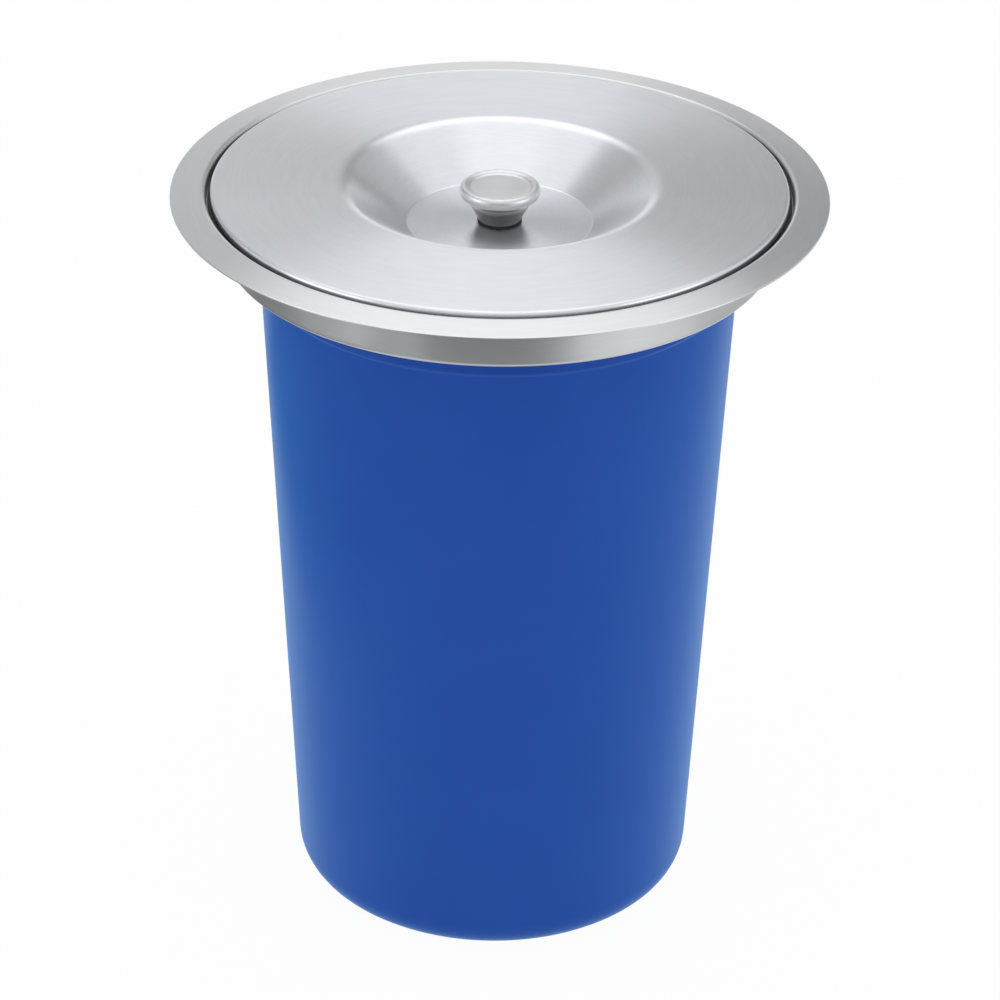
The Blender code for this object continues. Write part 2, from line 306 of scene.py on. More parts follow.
def model_lid_seal():
    """A rubber strip with a groove round its top, which the lid's return lies on."""
    low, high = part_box("lid_seal")
    outer = high.x
    width = 0.005
    inner = outer - width
    middle = (inner + outer) / 2
    corner = 0.0003
    groove = 0.0004
    outline = rounded((
        (inner, low.z, corner), (outer, low.z, corner), (outer, high.z, corner),
        (middle + 2 * groove, high.z, corner), (middle, high.z - groove, corner),
        (middle - 2 * groove, high.z, corner), (inner, high.z, corner),
    ), corner_step)
    return turned("lid_seal_strip", outline)


def model_flange_seal():
    """A foam strip that fills the slope under the flange."""
    low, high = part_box("flange_seal")
    outer = high.x
    width = 0.0085
    inner_corner = 0.0003
    outer_corner = 0.0001
    slope = (flange_lip_height - flange_edge_height) / (flange_radius - lid_recess_radius)
    outline = rounded((
        (outer - width, low.z, inner_corner), (outer, low.z, outer_corner),
        (outer, high.z - width * slope, outer_corner), (outer - width, high.z, inner_corner),
    ), corner_step)
    return turned("flange_seal_strip", outline)


# Pieces of the lid

def model_lid():
    """One sheet: return, edge, crown, dish and the hole for the screw."""
    path = rounded((
        (lid_radius - lid_return_width, lid_foot - bench, 0),
        (lid_radius, lid_foot - bench, lid_return_bend),
        (lid_radius, lid_edge_height, lid_edge_bend),
        (dish_radius, lid_crown - bench, dish_rim_bend),
        (dish_floor_radius, dish_floor_height, dish_floor_bend),
        (screw_hole, dish_floor_height, 0),
    ))
    return turned("lid_pressing", lifted(path + offset_path(path, sheet)[::-1], bench))


def model_knob():
    """A flat sunk a little below a thick rolled rim, and a neck that narrows to its foot."""
    head_shares = (
        (0.00, 0.927), (0.45, 0.927), (0.66, 0.927), (0.745, 0.938), (0.81, 0.976), (0.87, 0.998),
        (0.93, 0.986), (0.975, 0.94), (0.998, 0.85), (0.985, 0.765), (0.945, 0.69), (0.88, 0.625),
        (0.81, 0.58),
    )
    neck_shares = ((0.81, 0.58), (0.715, 0.41), (0.63, 0.245), (0.57, 0.11), (0.535, 0.00))
    height = knob_top - knob_foot
    bore_top = knob_foot + 0.0105
    outline = []
    for shares in (head_shares, neck_shares):
        outline += smooth_curve([(radius * knob_radius, knob_foot + share * height)
                                 for radius, share in shares])
    bore = [(screw_hole, knob_foot), (screw_hole, bore_top), (0.0, bore_top)]
    return turned("knob_turning", outline + [Vector(point) for point in bore], small_steps)


def model_plate(name, node):
    """A flat ring with softened corners, as large as its CAD node."""
    corner = 0.0002
    low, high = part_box(node)
    outline = rounded((
        (screw_hole, low.z, corner), (high.x, low.z, corner), (high.x, high.z, corner),
        (screw_hole, high.z, corner),
    ), corner_step)
    return turned(name, outline, small_steps)


def model_screw():
    """A pan-headed screw, drawn from its head up, with a crossed recess in the head."""
    low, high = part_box("knob_screw")
    head_top = low.z + 0.0025
    head_round = 0.0014
    head_corner = 0.0001
    shank = 0.002
    thread_depth = 0.00018
    pitch = 0.0007
    outline = rounded((
        (0.0, low.z, 0), (high.x, low.z, head_round), (high.x, head_top, head_corner),
        (shank, head_top, 0),
    ), math.radians(12))
    height = head_top + pitch
    while height < high.z - 2 * pitch:
        outline += [Vector((shank, height)), Vector((shank - thread_depth, height + pitch / 2))]
        height += pitch
    tip = 0.0005
    outline += [Vector((shank, high.z - tip)), Vector((shank - tip, high.z)), Vector((0.0, high.z))]
    screw = turned("screw", outline, small_steps, screw_smooth_limit)
    slot_length = 0.0021
    slot_width = 0.00045
    slot_depth = 0.0013
    overrun = 0.001
    for across_x, across_y in ((slot_length, slot_width), (slot_width, slot_length)):
        slot_low = (-across_x, -across_y, low.z - overrun)
        slot_high = (across_x, across_y, low.z + slot_depth)
        combine(screw, "DIFFERENCE", block("slot", slot_low, slot_high))
    activate(screw)
    bpy.ops.object.shade_smooth_by_angle(angle=screw_smooth_limit)
    return screw


# The bucket and its bail

def wall_radius(height):
    """The outer radius of the drafted wall at a height."""
    return bucket_base_radius + (bucket_neck_radius - bucket_base_radius) * height / neck_height


def model_ear(side):
    """A lug with a round top, made from a block whose two top edges are rounded until they meet."""
    edge_round = 0.0003
    almost = 0.999
    inner = side * ear_inner
    outer = side * (ear_inner + ear_thickness)
    low = (min(inner, outer), -ear_radius, rim_top - ear_sink)
    high = (max(inner, outer), ear_radius, bail_height + ear_radius)
    ear = block("ear", low, high)
    bpy.ops.object.mode_set(mode="EDIT")
    bpy.ops.mesh.select_mode(type="EDGE")
    bpy.ops.mesh.select_all(action="DESELECT")
    bpy.ops.object.mode_set(mode="OBJECT")
    points = ear.data.vertices
    for edge in ear.data.edges:
        first, second = (points[index].co for index in edge.vertices)
        along_x = abs(first.x - second.x) > ear_thickness / 2
        edge.select = along_x and min(first.z, second.z) > bail_height
    bpy.ops.object.mode_set(mode="EDIT")
    bpy.ops.mesh.bevel(offset=ear_radius * almost, segments=24)
    bpy.ops.object.mode_set(mode="OBJECT")
    apply_modifier(ear, "BEVEL", width=edge_round, segments=2, limit_method="ANGLE",
                   angle_limit=math.radians(50))
    return ear


def model_bucket():
    """Foot ring, wall, bead, shoulder and rolled rim, down the inside, then the two ears."""
    foot_inner = bucket_base_radius - base_corner - foot_width
    bead_foot = bead_middle - bead_height / 2
    bead_top = bead_middle + bead_height / 2
    soft_bend = 0.002
    shoulder_bend = 0.0015
    rim_corner = 0.0004
    rim_hollow_corner = 0.0005
    foot_edge = 0.0006
    outline = rounded((
        (0.0, foot_height, 0),
        (foot_inner, foot_height, foot_edge),
        (foot_inner + foot_height, 0.0, rim_corner),
        (bucket_base_radius, 0.0, base_corner),
        (wall_radius(bead_foot), bead_foot, soft_bend),
        (wall_radius(bead_middle) + bead_relief, bead_middle, soft_bend),
        (wall_radius(bead_top), bead_top, soft_bend),
        (bucket_neck_radius, neck_height, soft_bend),
        (band_radius, band_foot, shoulder_bend),
        (band_radius, rim_top - bucket_wall, rim_hollow_corner),
        (rim_radius - bucket_wall, rim_top - bucket_wall, rim_hollow_corner),
        (rim_radius - bucket_wall, rim_foot, rim_corner),
        (rim_radius, rim_foot, rim_corner),
        (rim_radius, rim_top, soft_bend),
        (band_radius - bucket_wall, rim_top, soft_bend),
        (band_radius - bucket_wall, band_foot, shoulder_bend),
        (bucket_neck_radius - bucket_wall, neck_height, soft_bend),
        (bucket_base_radius - bucket_wall, floor_height, base_corner - bucket_wall),
        (0.0, floor_height, 0),
    ))
    bucket = turned("bucket_moulding", outline)
    for side in (1, -1):
        combine(bucket, "UNION", model_ear(side))
    start_mesh()
    bpy.ops.mesh.primitive_cylinder_add(vertices=48, radius=bail_wire_radius + bore_gap,
                                        depth=2 * (ear_inner + 2 * ear_thickness),
                                        location=(0, 0, bail_height), rotation=(0, math.pi / 2, 0))
    combine(bucket, "DIFFERENCE", bpy.context.object)
    activate(bucket)
    bpy.ops.object.shade_smooth_by_angle(angle=smooth_limit)
    return bucket


def start_section(radius, angle, sides):
    """A round section of the bail's wire, standing on its circle at an angle, in edit mode."""
    start_mesh()
    place = (bail_radius * math.cos(angle), bail_radius * math.sin(angle), bail_height)
    bpy.ops.mesh.primitive_circle_add(vertices=sides, radius=radius, location=place,
                                      rotation=(math.pi / 2, 0, angle))
    bpy.ops.object.transform_apply(location=True, rotation=True, scale=True)
    bpy.ops.object.mode_set(mode="EDIT")
    bpy.ops.mesh.select_all(action="SELECT")


def model_bail():
    """Half of the wire, from its middle round to one ear, then mirrored."""
    start = math.asin(bail_bend / bail_radius)
    bow_centre = (0, 0, bail_height)
    bend_x = bail_radius * math.cos(start) + bail_bend
    bend_centre = (bend_x, bail_bend, bail_height)
    end_bevel = 0.0003
    end_share = 0.84
    start_section(bail_wire_radius, math.pi / 2, 24)
    bpy.ops.mesh.spin(steps=60, angle=math.pi / 2 - start, center=bow_centre, axis=(0, 0, 1))
    bpy.ops.mesh.spin(steps=12, angle=-math.pi / 2, center=bend_centre, axis=(0, 0, 1))
    straight = bail_end - bend_x - end_bevel
    bpy.ops.mesh.extrude_region_move(TRANSFORM_OT_translate={"value": (straight, 0, 0)})
    bpy.ops.mesh.extrude_region_move(TRANSFORM_OT_translate={"value": (end_bevel, 0, 0)})
    bpy.ops.transform.resize(value=(1, end_share, end_share), center_override=(bail_end, 0, bail_height))
    bpy.ops.mesh.edge_face_add()
    bpy.ops.object.mode_set(mode="OBJECT")
    wire = bpy.context.object
    apply_modifier(wire, "MIRROR", use_axis=(True, False, False), merge_threshold=0.00002)
    activate(wire)
    bpy.ops.object.mode_set(mode="EDIT")
    return finish_mesh("bail_wire")


def sleeve_radius(share):
    """The grip's radius along its length: rounded ends and shallow finger grooves."""
    grooves = 7
    groove_depth = 0.05
    plain_share = 0.09
    end_share = 0.82
    end_swell = 0.178
    end_steepness = 14
    from_end = min(1.0, min(share, 1 - share) * end_steepness)
    groove = 0.0
    if plain_share < share < 1 - plain_share:
        groove = groove_depth * (0.5 - 0.5 * math.cos(share * math.tau * grooves))
    return grip_radius * (end_share + end_swell * math.sin(from_end * math.pi / 2) - groove)


def model_grip():
    """A sleeve moulded round the wire: out over it, then back through its bore."""
    stations = 48
    step = grip_angle / stations
    bore = bail_wire_radius + bore_gap
    angle = math.pi / 2 - grip_angle / 2
    centre_of_turn = (0, 0, bail_height)
    start_section(bore, angle, 32)
    radius = bore
    bpy.ops.mesh.extrude_region()
    for station in range(stations + 1):
        if station > 0:
            bpy.ops.mesh.spin(steps=1, angle=-step, center=centre_of_turn, axis=(0, 0, 1))
            angle += step
        centre = (bail_radius * math.cos(angle), bail_radius * math.sin(angle), bail_height)
        wanted = sleeve_radius(station / stations)
        bpy.ops.transform.resize(value=(wanted / radius,) * 3, center_override=centre)
        radius = wanted
    bpy.ops.mesh.extrude_region()
    bpy.ops.transform.resize(value=(bore / radius,) * 3, center_override=centre)
    bpy.ops.mesh.spin(steps=stations, angle=grip_angle, center=centre_of_turn, axis=(0, 0, 1))
    return finish_mesh("grip_sleeve", grip_smooth_limit)


# Material helpers

def new_group(name, inputs, outputs):
    """A shader node group with named number inputs and outputs."""
    tree = bpy.data.node_groups.new(name, "ShaderNodeTree")
    for label, value in inputs:
        socket = tree.interface.new_socket(label, in_out="INPUT", socket_type="NodeSocketFloat")
        socket.default_value = value
    for label in outputs:
        tree.interface.new_socket(label, in_out="OUTPUT", socket_type="NodeSocketFloat")
    return tree, tree.nodes.new("NodeGroupInput"), tree.nodes.new("NodeGroupOutput")


def maths(tree, operation, first, second=None):
    """A maths node; each operand is a socket or a number."""
    node = tree.nodes.new("ShaderNodeMath")
    node.operation = operation
    for socket, operand in zip(node.inputs, (first, second)):
        if operand is None:
            continue
        if isinstance(operand, (int, float)):
            socket.default_value = operand
        else:
            tree.links.new(operand, socket)
    return node.outputs[0]


def weighted_sum(tree, start, *terms):
    """A number plus each socket times its weight."""
    total = start
    for socket, weight in terms:
        total = maths(tree, "ADD", maths(tree, "MULTIPLY", socket, weight), total)
    return total


def spread(tree, value, low, high, to_low=0.0, to_high=1.0):
    """The value carried from one range to another, and held inside it."""
    node = tree.nodes.new("ShaderNodeMapRange")
    node.clamp = True
    tree.links.new(value, node.inputs["Value"])
    node.inputs["From Min"].default_value = low
    node.inputs["From Max"].default_value = high
    node.inputs["To Min"].default_value = to_low
    node.inputs["To Max"].default_value = to_high
    return node.outputs["Result"]


def noise(tree, vector, scale, detail=2.0, roughness=0.5, fourth=None):
    """Noise over a vector, and over a fourth number where one is given."""
    node = tree.nodes.new("ShaderNodeTexNoise")
    node.noise_dimensions = "3D" if fourth is None else "4D"
    node.inputs["Scale"].default_value = scale
    node.inputs["Detail"].default_value = detail
    node.inputs["Roughness"].default_value = roughness
    tree.links.new(vector, node.inputs["Vector"])
    if fourth is not None:
        tree.links.new(fourth, node.inputs["W"])
    return node.outputs["Fac"]


def object_place(tree):
    """The three coordinates of a point on the piece."""
    place = tree.nodes.new("ShaderNodeTexCoord")
    parts = tree.nodes.new("ShaderNodeSeparateXYZ")
    tree.links.new(place.outputs["Object"], parts.inputs[0])
    return parts.outputs


def place_group(tree, group, values=None):
    """A shared effect placed in a material, with the material's own values for some inputs."""
    node = tree.nodes.new("ShaderNodeGroup")
    node.node_tree = group
    for label, value in (values or {}).items():
        node.inputs[label].default_value = value
    return node


def blend_colours(tree, factor, low, high):
    """Two colours, or colour sockets, blended by a factor."""
    node = tree.nodes.new("ShaderNodeMix")
    node.data_type = "RGBA"
    for label, colour in (("A", low), ("B", high)):
        socket = next(item for item in node.inputs if item.name == label and item.type == "RGBA")
        if isinstance(colour, tuple):
            socket.default_value = (*colour, 1.0)
        else:
            tree.links.new(colour, socket)
    tree.links.new(factor, node.inputs["Factor"])
    return next(item for item in node.outputs if item.type == "RGBA")


def worn_finish(tree, tone, dark, light, wear, wear_share, worn):
    """A tone between dark and light, blended towards a third colour where it is worn."""
    finish = blend_colours(tree, tone, dark, light)
    return blend_colours(tree, maths(tree, "MULTIPLY", wear, wear_share), finish, worn)


def add_bump(tree, shader, height, strength, distance):
    """Fine relief on the shader's surface, as deep as the distance."""
    node = tree.nodes.new("ShaderNodeBump")
    node.inputs["Strength"].default_value = strength
    node.inputs["Distance"].default_value = distance
    tree.links.new(height, node.inputs["Height"])
    tree.links.new(node.outputs[0], shader.inputs["Normal"])


def new_material(name):
    """A material, its node tree and its shader."""
    material = bpy.data.materials.new(name)
    material.use_nodes = True
    return material, material.node_tree, material.node_tree.nodes["Principled BSDF"]


# Effects that several materials share

def turned_noise(tree, lines, turns):
    """Noise drawn out round the Z axis: lines per metre across, turns round."""
    x, y, z = object_place(tree)
    across = maths(tree, "SQRT", maths(tree, "ADD", maths(tree, "MULTIPLY", x, x),
                                       maths(tree, "MULTIPLY", y, y)))
    safe = maths(tree, "MAXIMUM", across, 0.0005)
    vector = tree.nodes.new("ShaderNodeCombineXYZ")
    tree.links.new(maths(tree, "MULTIPLY", across, lines), vector.inputs[0])
    tree.links.new(maths(tree, "MULTIPLY", z, lines), vector.inputs[1])
    tree.links.new(maths(tree, "MULTIPLY", maths(tree, "DIVIDE", x, safe), turns), vector.inputs[2])
    fourth = maths(tree, "MULTIPLY", maths(tree, "DIVIDE", y, safe), turns)
    return noise(tree, vector.outputs[0], scale=1.0, fourth=fourth)


def make_grain_group():
    """Fine circular grain, broader turning marks, and a slow haze of handling."""
    tree, given, result = new_group(
        "turned_grain", [("Lines", 1800.0), ("Turns", 9.0)], ["Grain", "Marks", "Haze"])
    lines = given.outputs["Lines"]
    turns = given.outputs["Turns"]
    tree.links.new(turned_noise(tree, lines, turns), result.inputs["Grain"])
    broad = maths(tree, "MULTIPLY", lines, 0.12)
    few = maths(tree, "MULTIPLY", turns, 0.35)
    tree.links.new(turned_noise(tree, broad, few), result.inputs["Marks"])
    place = tree.nodes.new("ShaderNodeTexCoord")
    haze = noise(tree, place.outputs["Object"], scale=14.0, detail=3.0, roughness=0.55)
    tree.links.new(haze, result.inputs["Haze"])
    return tree


def make_skin_group():
    """Moulded plastic: fine orange peel, slow mottling, and faint drag lines up the wall."""
    tree, given, result = new_group(
        "moulded_skin", [("Peel Scale", 900.0), ("Mottle Scale", 18.0)], ["Peel", "Mottle", "Drag"])
    place = tree.nodes.new("ShaderNodeTexCoord")
    peel = noise(tree, place.outputs["Object"], scale=1.0, detail=1.0)
    tree.links.new(given.outputs["Peel Scale"], peel.node.inputs["Scale"])
    tree.links.new(peel, result.inputs["Peel"])
    mottle = noise(tree, place.outputs["Object"], scale=1.0, detail=3.0, roughness=0.6)
    tree.links.new(given.outputs["Mottle Scale"], mottle.node.inputs["Scale"])
    tree.links.new(mottle, result.inputs["Mottle"])
    stretch = tree.nodes.new("ShaderNodeMapping")
    stretch.inputs["Scale"].default_value = (1.0, 1.0, 0.03)
    tree.links.new(place.outputs["Object"], stretch.inputs["Vector"])
    tree.links.new(noise(tree, stretch.outputs[0], scale=260.0), result.inputs["Drag"])
    return tree


def make_wear_group():
    """A mask that rises on raised edges, broken up by noise."""
    low = 0.51
    high = 0.58
    tree, given, result = new_group("edge_wear", [("Low", low), ("High", high)], ["Wear"])
    shape = tree.nodes.new("ShaderNodeNewGeometry")
    edge = spread(tree, shape.outputs["Pointiness"], low, high)
    tree.links.new(given.outputs["Low"], edge.node.inputs["From Min"])
    tree.links.new(given.outputs["High"], edge.node.inputs["From Max"])
    place = tree.nodes.new("ShaderNodeTexCoord")
    patches = noise(tree, place.outputs["Object"], scale=220.0, detail=3.0, roughness=0.6)
    broken = spread(tree, patches, 0.35, 0.65, 0.35, 1.0)
    tree.links.new(maths(tree, "MULTIPLY", edge, broken), result.inputs["Wear"])
    return tree


# Materials

def turned_steel(name, groups, dark, light, worn, roughness, anisotropic, bump):
    """Steel brushed round the Z axis, with its highlight drawn out across the grain."""
    material, tree, shader = new_material(name)
    marks_share = 0.35
    across_grain = 0.25
    grain = place_group(tree, groups["grain"])
    wear = place_group(tree, groups["wear"]).outputs["Wear"]
    tone = weighted_sum(tree, 0.0, (grain.outputs["Marks"], marks_share),
                        (grain.outputs["Grain"], 1 - marks_share))
    tone = spread(tree, tone, 0.3, 0.7)
    colour = worn_finish(tree, tone, dark, light, wear, 0.5, worn)
    tree.links.new(colour, shader.inputs["Base Color"])
    shader.inputs["Metallic"].default_value = 1.0
    shader.inputs["Anisotropic"].default_value = anisotropic
    shader.inputs["Anisotropic Rotation"].default_value = across_grain
    tangent = tree.nodes.new("ShaderNodeTangent")
    tangent.direction_type = "RADIAL"
    tangent.axis = "Z"
    tree.links.new(tangent.outputs[0], shader.inputs["Tangent"])
    rough = weighted_sum(tree, roughness - 0.04, (grain.outputs["Marks"], 0.03),
                         (grain.outputs["Haze"], 0.05), (wear, -0.04))
    tree.links.new(rough, shader.inputs["Roughness"])
    add_bump(tree, shader, grain.outputs["Marks"], strength=0.5, distance=bump)
    return material


def paint_shade_below(material, height, fade, dark):
    """Painted shade: the colour darkened below a height, where shade falls under an overhang."""
    tree = material.node_tree
    base = tree.nodes["Principled BSDF"].inputs["Base Color"]
    unshaded_colour = base.links[0].from_socket
    unshaded_share = spread(tree, object_place(tree)["Z"], height - fade, height)
    tree.links.new(blend_colours(tree, unshaded_share, dark, unshaded_colour), base)


def plated_metal(name, groups, dark, light, worn, roughness):
    """Bright plating over drawn or stamped steel, a little cloudy and rubbed at the edges."""
    material, tree, shader = new_material(name)
    mottle = place_group(tree, groups["skin"]).outputs["Mottle"]
    wear = place_group(tree, groups["wear"]).outputs["Wear"]
    tone = spread(tree, mottle, 0.3, 0.7)
    colour = worn_finish(tree, tone, dark, light, wear, 0.4, worn)
    tree.links.new(colour, shader.inputs["Base Color"])
    shader.inputs["Metallic"].default_value = 1.0
    rough = weighted_sum(tree, roughness - 0.05, (mottle, 0.1), (wear, 0.05))
    tree.links.new(rough, shader.inputs["Roughness"])
    add_bump(tree, shader, mottle, strength=0.3, distance=0.00002)
    return material


def moulded_plastic(name, groups, dark, light, worn, roughness, peel):
    """Plastic with a fine skin, slow mottling and paler edges."""
    material, tree, shader = new_material(name)
    skin = place_group(tree, groups["skin"], {"Peel Scale": peel})
    wear = place_group(tree, groups["wear"]).outputs["Wear"]
    tone = spread(tree, skin.outputs["Mottle"], 0.3, 0.7)
    colour = worn_finish(tree, tone, dark, light, wear, 0.35, worn)
    tree.links.new(colour, shader.inputs["Base Color"])
    rough = weighted_sum(tree, roughness - 0.035, (skin.outputs["Mottle"], 0.07), (wear, 0.06))
    tree.links.new(rough, shader.inputs["Roughness"])
    height = weighted_sum(tree, 0.0, (skin.outputs["Drag"], 0.8), (skin.outputs["Peel"], 1.0))
    add_bump(tree, shader, height, strength=0.3, distance=0.00002)
    shader.inputs["IOR"].default_value = 1.3
    return material, shader


def make_ring_steel(groups):
    """The flange and collar, brushed a little duller than the lid."""
    return turned_steel("ring_steel", groups, (0.565, 0.58, 0.59), (0.61, 0.625, 0.635),
                        (0.70, 0.70, 0.70), roughness=0.31, anisotropic=0.85, bump=0.000004)


def make_lid_steel(groups):
    """The lid, a little paler and cooler than the ring."""
    return turned_steel("lid_steel", groups, (0.62, 0.64, 0.67), (0.68, 0.70, 0.73),
                        (0.70, 0.70, 0.70), roughness=0.29, anisotropic=0.85, bump=0.000004)


def make_knob_metal(groups):
    """Satin on its head, with painted shade darkening the neck under the head."""
    head_foot = knob_foot + 0.62 * (knob_top - knob_foot)
    fade = 0.004
    metal = turned_steel("knob_metal", groups, (0.555, 0.565, 0.58), (0.605, 0.615, 0.63),
                         (0.62, 0.62, 0.62), roughness=0.36, anisotropic=0.2, bump=0.000003)
    # Painted shade: the neck under the head gets a dark base colour in place of the shade that falls
    # there.
    paint_shade_below(metal, head_foot, fade, (0.20, 0.20, 0.195))
    return metal


def make_plated_steel(groups):
    """The bail's wire, and the screw and washer below the knob."""
    return plated_metal("plated_steel", groups, (0.50, 0.51, 0.52), (0.55, 0.56, 0.57),
                        (0.66, 0.66, 0.66), roughness=0.24)


def make_blue_plastic(groups):
    """The bucket's satin blue, with a soft blue sheen where the wall turns away."""
    blue, shader = moulded_plastic("blue_plastic", groups, (0.021, 0.074, 0.40),
                                   (0.023, 0.079, 0.42), (0.03, 0.16, 0.58), roughness=0.3, peel=900.0)
    shader.inputs["Specular IOR Level"].default_value = 0.22
    shader.inputs["Specular Tint"].default_value = (0.6, 1.0, 1.0, 1.0)
    shader.inputs["Sheen Weight"].default_value = 0.75
    shader.inputs["Sheen Roughness"].default_value = 0.5
    shader.inputs["Sheen Tint"].default_value = (0.03, 0.4, 1.0, 1.0)
    return blue


def make_grip_plastic(groups):
    """The black sleeve on the bail."""
    return moulded_plastic("grip_plastic", groups, (0.035, 0.035, 0.038), (0.05, 0.05, 0.055),
                           (0.09, 0.09, 0.095), roughness=0.5, peel=1800.0)[0]


def soft_rubber(name, groups):
    """Matt black rubber with a dusty bloom."""
    material, tree, shader = new_material(name)
    skin = place_group(tree, groups["skin"], {"Peel Scale": 2400.0, "Mottle Scale": 60.0})
    bloom = blend_colours(tree, skin.outputs["Mottle"], (0.008, 0.008, 0.009), (0.024, 0.024, 0.025))
    tree.links.new(bloom, shader.inputs["Base Color"])
    tree.links.new(weighted_sum(tree, 0.6, (skin.outputs["Mottle"], 0.2)), shader.inputs["Roughness"])
    add_bump(tree, shader, skin.outputs["Peel"], strength=0.4, distance=0.00003)
    return material


# Stage, light and camera

def seen_as_white(tree):
    """One for rays that show the white background: from the camera, mirrors and glass."""
    rays = tree.nodes.new("ShaderNodeLightPath")
    mirrored = maths(tree, "MAXIMUM", rays.outputs["Is Glossy Ray"], rays.outputs["Is Transmission Ray"])
    return maths(tree, "MAXIMUM", rays.outputs["Is Camera Ray"], mirrored)


def make_floor():
    """A pale floor that shows almost white, with the bin's soft shadow, and clear from below."""
    floor_size = 14
    white_share = 0.97
    start_mesh()
    bpy.ops.mesh.primitive_plane_add(size=floor_size, location=(0, 0, 0))
    floor = bpy.context.object
    floor.name = "floor"
    material, tree, shader = new_material("floor_paper")
    place = tree.nodes.new("ShaderNodeTexCoord")
    fibre = noise(tree, place.outputs["Object"], scale=300.0)
    tree.links.new(blend_colours(tree, fibre, (0.64, 0.64, 0.64), (0.66, 0.66, 0.66)),
                   shader.inputs["Base Color"])
    shader.inputs["Roughness"].default_value = 0.9
    shader.inputs["Specular IOR Level"].default_value = 0.1
    glow = tree.nodes.new("ShaderNodeEmission")
    glow.inputs["Strength"].default_value = 1.0
    mix = tree.nodes.new("ShaderNodeMixShader")
    tree.links.new(maths(tree, "MULTIPLY", seen_as_white(tree), white_share), mix.inputs[0])
    tree.links.new(shader.outputs[0], mix.inputs[1])
    tree.links.new(glow.outputs[0], mix.inputs[2])
    side = tree.nodes.new("ShaderNodeNewGeometry")
    clear = tree.nodes.new("ShaderNodeBsdfTransparent")
    one_sided = tree.nodes.new("ShaderNodeMixShader")
    tree.links.new(side.outputs["Backfacing"], one_sided.inputs[0])
    tree.links.new(mix.outputs[0], one_sided.inputs[1])
    tree.links.new(clear.outputs[0], one_sided.inputs[2])
    tree.links.new(one_sided.outputs[0], tree.nodes["Material Output"].inputs["Surface"])
    floor.data.materials.append(material)


def add_card(name, place, turn, width, height, shade):
    """A grey card that is seen only in the metal, where it darkens the white room."""
    start_mesh()
    bpy.ops.mesh.primitive_plane_add(size=1, location=place, rotation=turn)
    card = bpy.context.object
    card.scale = (width, height, 1)
    card.name = name
    card.visible_camera = False
    card.visible_diffuse = False
    card.visible_shadow = False
    material, _, shader = new_material(name)
    shader.inputs["Base Color"].default_value = (shade, shade, shade, 1.0)
    shader.inputs["Roughness"].default_value = 0.9
    card.data.materials.append(material)


def add_standing_card(name, degrees, distance, width, low, high, shade):
    """An upright card that faces the bin, some degrees round from the back to the right."""
    azimuth = math.radians(degrees)
    place = (distance * math.sin(azimuth), distance * math.cos(azimuth), (low + high) / 2)
    add_card(name, place, (math.pi / 2, 0, -azimuth), width, high - low, shade)


def add_lying_card(name, x, y, width, length, shade):
    """A card that lies just above the floor."""
    above_floor = 0.002
    add_card(name, (x, y, above_floor), (0, 0, 0), width, length, shade)


def make_cards():
    """Those that stand darken the lid and dish, and those that lie darken the collar."""
    add_standing_card("right_card", 18.5, 1.9, 0.9, 0.75, 2.2, 0.5)
    add_standing_card("left_card", -22, 1.9, 0.8, 0.75, 2.2, 0.9)
    add_standing_card("right_side_card", 42, 1.9, 1.0, 0.55, 2.3, 0.8)
    add_standing_card("left_side_card", -47, 1.9, 1.2, 0.55, 2.7, 0.62)
    add_standing_card("back_card", 2, 1.92, 0.7, 0.98, 1.85, 0.74)
    add_standing_card("camera_card", 180, 2.4, 2.6, 0.0, 1.0, 0.05)
    add_lying_card("front_card", -0.25, -1.15, 1.3, 1.3, 0.2)
    add_lying_card("left_floor_card", -1.0, -0.05, 1.32, 1.1, 0.17)
    add_lying_card("right_floor_card", 0.85, 0.0, 0.7, 1.2, 0.58)


def make_world():
    """White where it is seen or mirrored, and a softer light on everything else."""
    seen = 1.0
    soft_light = 0.75
    world = bpy.data.worlds.new("studio")
    bpy.context.scene.world = world
    world.use_nodes = True
    tree = world.node_tree
    back = tree.nodes["Background"]
    back.inputs["Color"].default_value = (1.0, 1.0, 1.0, 1.0)
    strength = spread(tree, seen_as_white(tree), 0.0, 1.0, soft_light, seen)
    tree.links.new(strength, back.inputs["Strength"])


def add_softbox(name, place, aim, width, length, brightness):
    """An area lamp whose brightness is given as it is seen, where 1 is white."""
    watts_per_area = 4 * brightness
    bpy.ops.object.light_add(type="AREA", location=place)
    lamp = bpy.context.object
    lamp.name = name
    lamp.data.shape = "RECTANGLE"
    lamp.data.size = width
    lamp.data.size_y = length
    lamp.data.energy = watts_per_area * width * length
    lamp.rotation_euler = (Vector(aim) - Vector(place)).to_track_quat("-Z", "Y").to_euler()


def make_lights():
    """A broad lamp overhead, two behind the bin and one at each side of it."""
    middle = (0.0, 0.0, bench)
    wall = (0.0, 0.0, 0.2)
    add_softbox("overhead", (-0.05, -0.1, 2.1), (-0.05, -0.1, 0.0), 1.2, 1.6, 0.26)
    add_softbox("high_back", (-0.05, 1.2, 2.1), middle, 1.6, 1.0, 0.85)
    add_softbox("low_back", (0.0, 2.3, 0.88), middle, 0.7, 0.5, 0.42)
    add_softbox("right_side", (1.75, -0.85, 0.62), wall, 1.2, 1.2, 1.2)
    add_softbox("left_side", (-1.75, -0.75, 0.75), wall, 1.2, 1.2, 1.2)


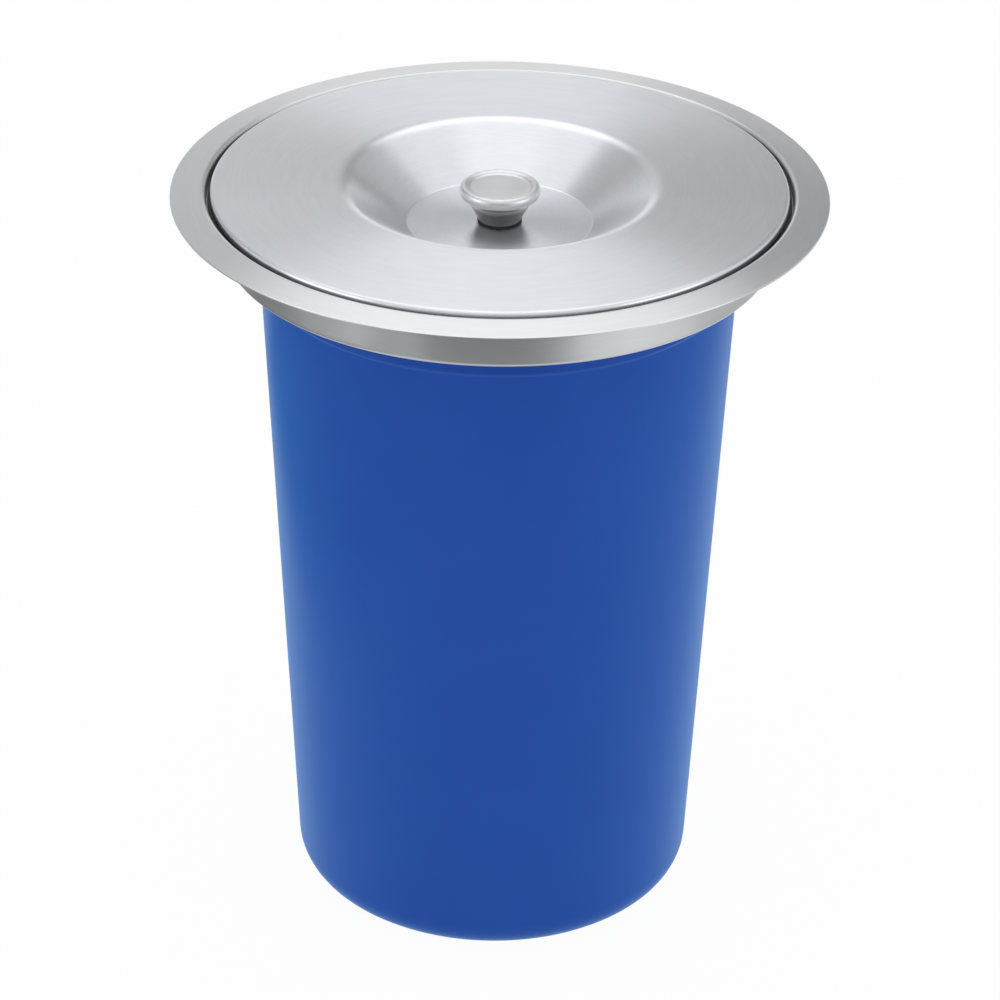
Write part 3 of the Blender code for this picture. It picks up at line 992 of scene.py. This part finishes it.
def make_camera():
    """The photo's view: two metres away, 29 degrees above, turned a little about its own axis."""
    distance = 2.0
    elevation = math.radians(29.14)
    roll = math.radians(0.76)
    focal_pixels = 3946.0
    picture_pixels = 1000.0
    centre = Vector((0.0020, 0.0, bench - 0.1716))
    back = Vector((0.0, -math.cos(elevation), math.sin(elevation)))
    data = bpy.data.cameras.new("camera")
    camera = bpy.data.objects.new("camera", data)
    bpy.context.scene.collection.objects.link(camera)
    data.sensor_width = 36.0
    data.lens = focal_pixels / picture_pixels * data.sensor_width
    turn = (-back).to_track_quat("-Z", "Y").to_matrix().to_4x4()
    place = Matrix.Translation(centre + back * distance)
    camera.matrix_world = place @ turn @ Matrix.Rotation(roll, 4, "Z")
    data.clip_start = 0.05
    data.clip_end = 50.0
    bpy.context.scene.camera = camera


def dress(piece, material, body, slot, *nodes):
    """A finished piece gets its material, rides on its body and stands for its nodes."""
    piece.data.materials.clear()
    piece.data.materials.append(material)
    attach(piece, body)
    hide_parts(*nodes)


def main():
    """Stage and light, then the finishes, then the pieces one by one."""
    make_camera()
    make_floor()
    make_cards()
    make_world()
    make_lights()
    groups = {"grain": make_grain_group(), "skin": make_skin_group(), "wear": make_wear_group()}
    ring_steel = make_ring_steel(groups)
    lid_steel = make_lid_steel(groups)
    knob_metal = make_knob_metal(groups)
    plated = make_plated_steel(groups)
    blue = make_blue_plastic(groups)
    grip = make_grip_plastic(groups)
    rubber = soft_rubber("seal_rubber", groups)
    dress(model_flange(), ring_steel, "ring", "ring_steel", "top_flange")
    dress(model_collar(), ring_steel, "ring", "ring_steel", "collar")
    dress(model_lid_seal(), rubber, "ring", "seal_rubber", "lid_seal")
    dress(model_flange_seal(), rubber, "ring", "seal_rubber", "flange_seal")
    dress(model_lid(), lid_steel, "lid", "lid_steel", "lid_shell")
    dress(model_knob(), knob_metal, "lid", "knob_metal", "knob")
    dress(model_plate("gasket", "knob_gasket"), rubber, "lid", "seal_rubber", "knob_gasket")
    dress(model_plate("washer", "knob_washer"), plated, "lid", "plated_steel", "knob_washer")
    dress(model_screw(), plated, "lid", "plated_steel", "knob_screw")
    dress(model_bucket(), blue, "bucket_body", "blue_plastic", "bucket")
    dress(model_bail(), plated, "bail_body", "plated_steel", "bail")
    dress(model_grip(), grip, "bail_body", "grip_plastic", "bail_grip")


main()
bpy.context.scene.view_settings.view_transform = "Standard"
